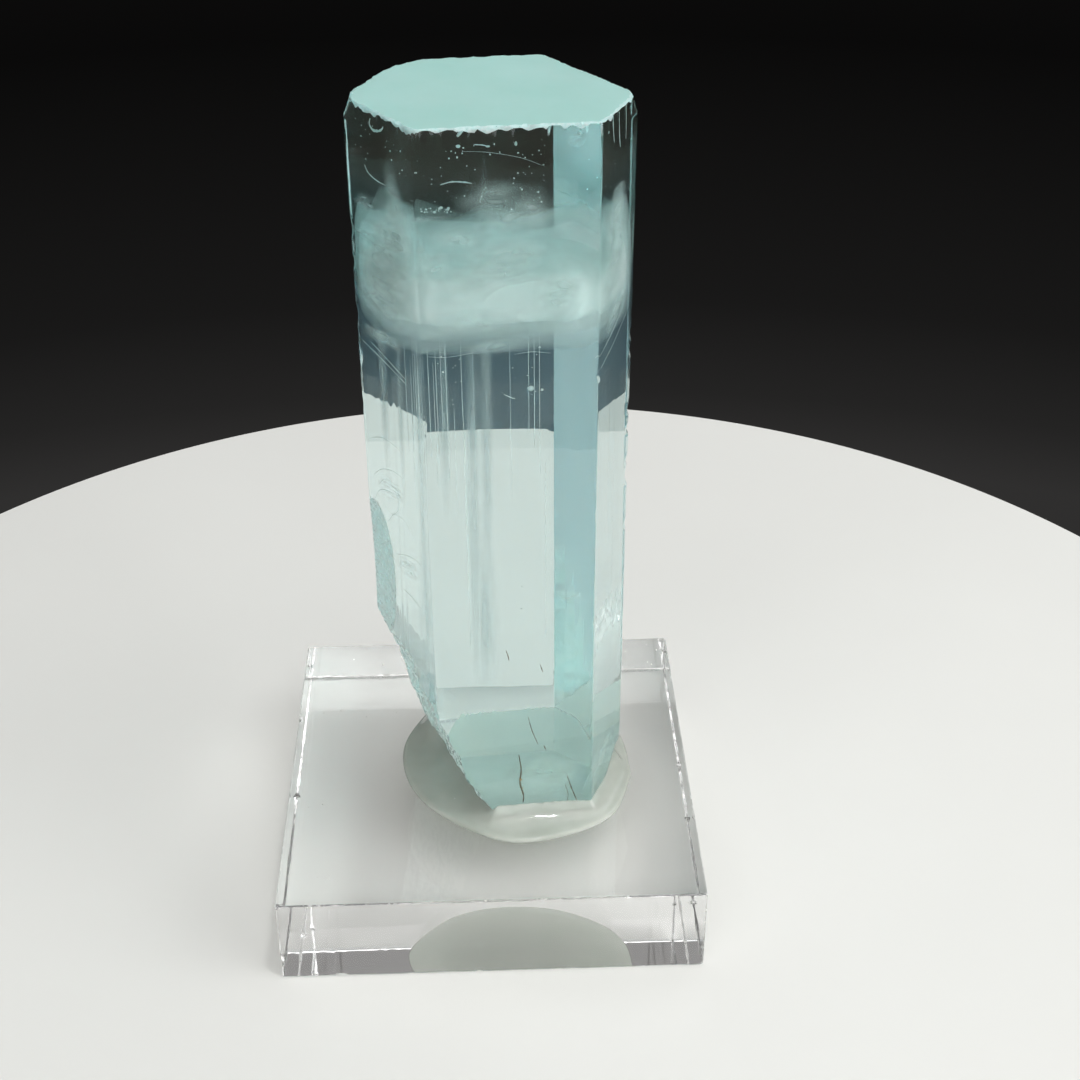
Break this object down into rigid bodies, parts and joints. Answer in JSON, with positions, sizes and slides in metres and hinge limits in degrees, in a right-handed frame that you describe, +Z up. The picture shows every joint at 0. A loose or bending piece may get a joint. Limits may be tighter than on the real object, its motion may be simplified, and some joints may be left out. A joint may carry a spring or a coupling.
{
  "type": "aquamarine crystal on display block",
  "caption": "Pale blue-green six-sided beryl crystal with a flat top and a broken lower corner, glued upright on a clear acrylic block.",
  "frame": {"origin": "centre of the underside of the display block", "axes": "+Z up along the crystal's length, +X to the right and -Y to the front, square with the block's sides"},
  "size_m": [0.03, 0.03, 0.0592],
  "materials": {
    "acrylic": "clear polished acrylic with sawn edges",
    "glue": "slightly milky clear adhesive",
    "aquamarine": "clear pale blue-green crystal with milky veils and striated faces"
  },
  "bodies": {
    "root": {"display_block": "acrylic", "glue_pad": "glue", "aquamarine_crystal": "aquamarine"}
  },
  "joints": []
}
